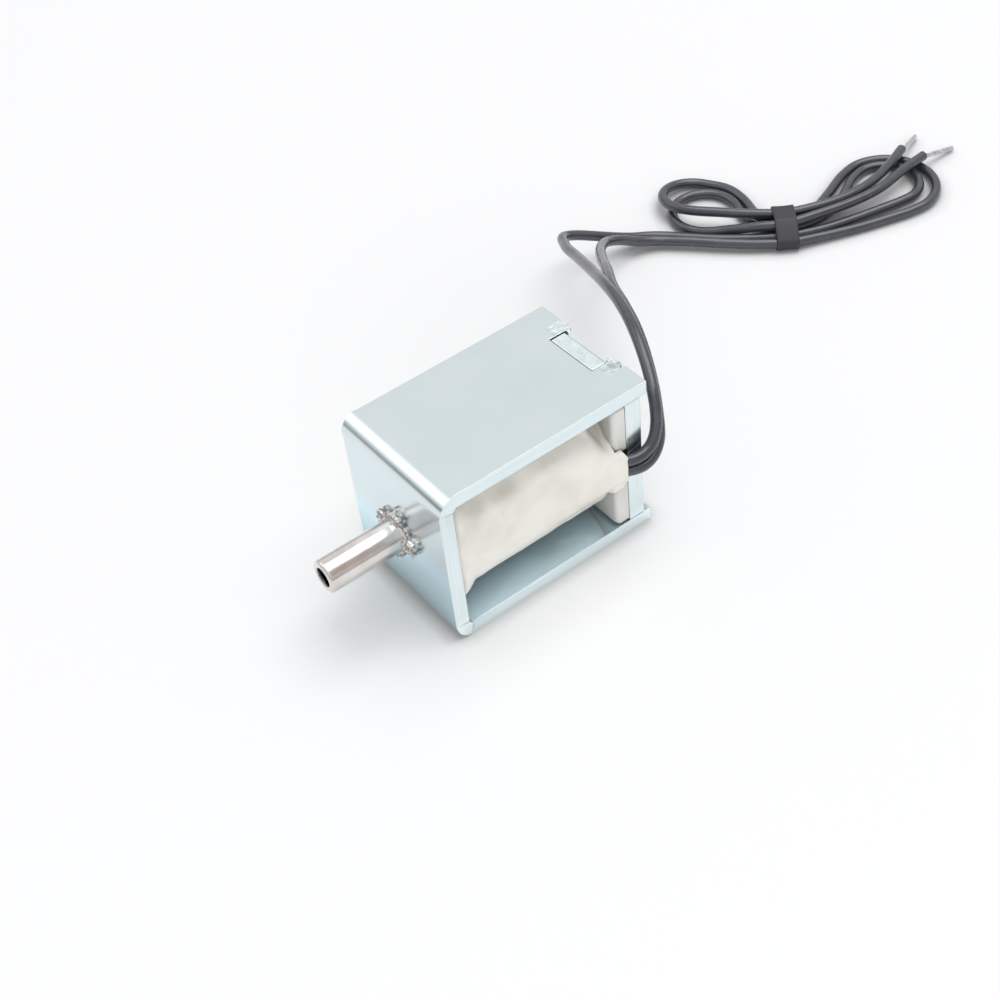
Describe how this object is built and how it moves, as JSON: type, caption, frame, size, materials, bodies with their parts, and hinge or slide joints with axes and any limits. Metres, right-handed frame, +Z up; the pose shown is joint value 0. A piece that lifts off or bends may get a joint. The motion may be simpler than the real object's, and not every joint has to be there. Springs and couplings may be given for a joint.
{
  "type": "micro solenoid valve",
  "caption": "Micro solenoid air valve: taped coil in a bent plated yoke with a staked rear plate, nozzle in front, sprung plunger inside, and thin leads folded into a tied hank.",
  "frame": {"origin": "centre of the yoke's lower face, on which the valve stands", "axes": "+Y along the valve's axis, away from the nozzle; +X towards the side where the leads leave; +Z up"},
  "size_m": [0.0355, 0.0857, 0.0151],
  "materials": {
    "zinc_plate": "zinc plated, glossy",
    "nickel": "bright nickel plated",
    "bobbin_plastic": "satin moulded",
    "copper": "enamelled copper wire",
    "tape": "cream tape, slightly glossy",
    "pad": "paper pad",
    "solder": "tinned",
    "plunger_steel": "turned, plated",
    "spring_steel": "drawn wire",
    "black_rubber": "moulded, matte",
    "lead_insulation": "smooth, slightly glossy",
    "tie_band": "dark moulded band, matte"
  },
  "bodies": {
    "valve": {"yoke_frame": "zinc_plate", "rear_plate": "zinc_plate", "nozzle_core": "nickel", "bobbin": "bobbin_plastic", "coil_winding": "copper", "coil_tape": "tape", "splice_pad": "pad", "splice_1": "solder", "splice_2": "solder", "coil_tail_1": "copper", "coil_tail_2": "copper", "return_spring": "spring_steel", "rear_bumper": "black_rubber", "lead_wire_1": "lead_insulation", "lead_wire_2": "lead_insulation", "lead_hank": "lead_insulation", "hank_tie": "tie_band", "lead_tip_1": "solder", "lead_tip_2": "solder"},
    "plunger_body": {"plunger": "plunger_steel", "plunger_seal": "black_rubber"}
  },
  "joints": [
    {"name": "plunger_slide", "type": "slide", "parent": "valve", "child": "plunger_body", "axis": [0, -1, 0], "range_m": [0, 0.0008], "stiffness_N_per_m": 150, "springref_m": -0.001, "deforming": ["return_spring"]}
  ]
}
